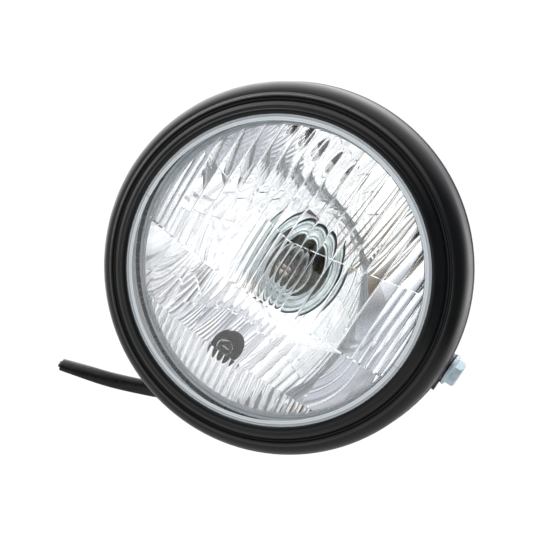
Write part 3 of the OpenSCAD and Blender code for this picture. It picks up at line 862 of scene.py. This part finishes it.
# The studio round the lamp for one kind of ray: a base colour, then soft patches that add to it.
# A patch has the direction towards it, the angles in degrees at which it is full and at which it
# ends, and what it adds.
DIFFUSE_STUDIO = [(0.95, 0.95, 0.95)]
GLOSSY_STUDIO = [
    (0.08, 0.083, 0.088),
    ((-0.155, 0.97, -0.186), 45, 100, (0.3, 0.31, 0.32)),
    ((-0.65, 0.65, 0.4), 20, 48, (1.3, 1.3, 1.3)),
    ((-0.52, 0.3, 0.8), 20, 72, (1.1, 1.08, 1.1)),
    ((0.55, 0.83, 0.0), 10, 38, (0.9, 0.88, 0.88)),
]
GLASS_STUDIO = [
    (1.85, 1.86, 1.88),
    ((0.06, -0.98, 0.16), 10, 21, (-1.35, -1.34, -1.31)),
    ((-0.04, -0.99, -0.02), 3, 9, (-0.4, -0.48, -0.6)),
    ((-0.45, -0.88, 0.1), 8, 24, (-0.55, -0.55, -0.52)),
    ((0.5, -0.85, 0.15), 5, 16, (-0.65, -0.64, -0.61)),
    ((0.15, -0.9, 0.5), 6, 16, (-0.65, -0.73, -0.85)),
]

# Clouds that brighten and darken what the glass shows: how much, their size and detail, and the
# range of their noise
GLASS_CLOUDS = 0.4
CLOUD_SCALE = 5.0
CLOUD_DETAIL = 2.0
CLOUD_RANGE = (0.35, 0.65)


def make_floor():
    """A wide pale floor that the camera and the glass see as white, and that keeps the lamp's shadow."""
    sides = ((-1, -1), (1, -1), (1, 1), (-1, 1))
    corners = [(x * FLOOR_HALF, y * FLOOR_HALF, FLOOR_HEIGHT) for x, y in sides]
    mesh = bpy.data.meshes.new("floor")
    mesh.from_pydata(corners, [], [(0, 1, 2, 3)])
    floor = add_object("floor", mesh)
    s = Shader("floor")
    s.set(Base_Color=(0.8, 0.8, 0.8, 1.0), Roughness=0.9)
    path = s.node("ShaderNodeLightPath").outputs
    clear = s.math("MAXIMUM", path["Is Camera Ray"], path["Is Transmission Ray"])
    seen = s.math("MAXIMUM", clear, path["Is Glossy Ray"])
    glow = s.node("ShaderNodeEmission")
    split = s.node("ShaderNodeSeparateXYZ")
    s.link(s.place(), split.inputs["Vector"])
    left_back = s.math("MINIMUM", s.math("MULTIPLY", split.outputs["X"], -1.0), split.outputs["Y"])
    reflected = s.span(left_back, FLOOR_GLOSSY, FLOOR_GLOSSY_FAR, FAR_START, FAR_END)
    through = s.span(s.noise(4, 2), *FLOOR_THROUGH, *FLOOR_NOISE)
    strength = s.math("MULTIPLY", reflected, s.math("SUBTRACT", 1.0, clear))
    strength = s.math("MULTIPLY_ADD", path["Is Camera Ray"], FLOOR_CAMERA, strength)
    strength = s.math("MULTIPLY_ADD", path["Is Transmission Ray"], through, strength)
    s.link(strength, glow.inputs["Strength"])
    mix = s.node("ShaderNodeMixShader")
    s.link(s.math("MULTIPLY", seen, FLOOR_SHARE), mix.inputs["Fac"])
    s.link(s.surface.outputs["BSDF"], mix.inputs[1])
    s.link(glow.outputs["Emission"], mix.inputs[2])
    s.link(mix.outputs["Shader"], s.output.inputs["Surface"])
    mesh.materials.append(s.material)


def make_world():
    """White for the camera, and its own studio for diffuse rays, for reflections and through the glass."""
    world = bpy.data.worlds.new("studio")
    bpy.context.scene.world = world
    world.use_nodes = True
    world.cycles.sampling_method = "NONE"
    w = Nodes(world.node_tree)
    towards = w.node("ShaderNodeTexCoord").outputs["Generated"]

    def studio(lights):
        total = w.vector("ADD", lights[0], (0.0, 0.0, 0.0))
        for direction, full, end, colour in lights[1:]:
            facing = w.vector("DOT_PRODUCT", towards, tuple(Vector(direction).normalized()))
            limits = (math.cos(math.radians(end)), math.cos(math.radians(full)))
            share = w.span(facing, 0.0, 1.0, *limits, smooth=True)
            total = w.vector("ADD", total, w.vector("SCALE", colour, share))
        return total

    def choose(flag, when, otherwise):
        part = w.vector("SCALE", w.vector("SUBTRACT", when, otherwise), flag)
        return w.vector("ADD", otherwise, part)

    path = w.node("ShaderNodeLightPath").outputs
    colour = choose(path["Is Glossy Ray"], studio(GLOSSY_STUDIO), studio(DIFFUSE_STUDIO))
    clouds = w.node("ShaderNodeTexNoise")
    clouds.inputs["Scale"].default_value = CLOUD_SCALE
    clouds.inputs["Detail"].default_value = CLOUD_DETAIL
    w.link(towards, clouds.inputs["Vector"])
    shade = w.span(clouds.outputs["Fac"], 1.0 - GLASS_CLOUDS, 1.0 + GLASS_CLOUDS, *CLOUD_RANGE)
    glass = w.vector("SCALE", studio(GLASS_STUDIO), shade)
    colour = choose(path["Is Transmission Ray"], glass, colour)
    colour = choose(path["Is Camera Ray"], (1.0, 1.0, 1.0), colour)
    w.link(colour, w.tree.nodes["Background"].inputs["Color"])


def allow_bounces():
    """The glass and the bowl behind it send light to and fro many times."""
    cycles = bpy.context.scene.cycles
    cycles.max_bounces = 48
    cycles.transmission_bounces = 48
    cycles.glossy_bounces = 32


def main():
    place_camera()
    materials = make_materials()
    make_sleeve(materials["sleeve_vinyl"])
    dress_cad_nodes(materials)
    make_lens(materials["lens_glass"])
    make_reflector(materials["mirror_coat"])
    make_floor()
    make_world()
    allow_bounces()
    bpy.context.scene.view_settings.view_transform = "Standard"


main()
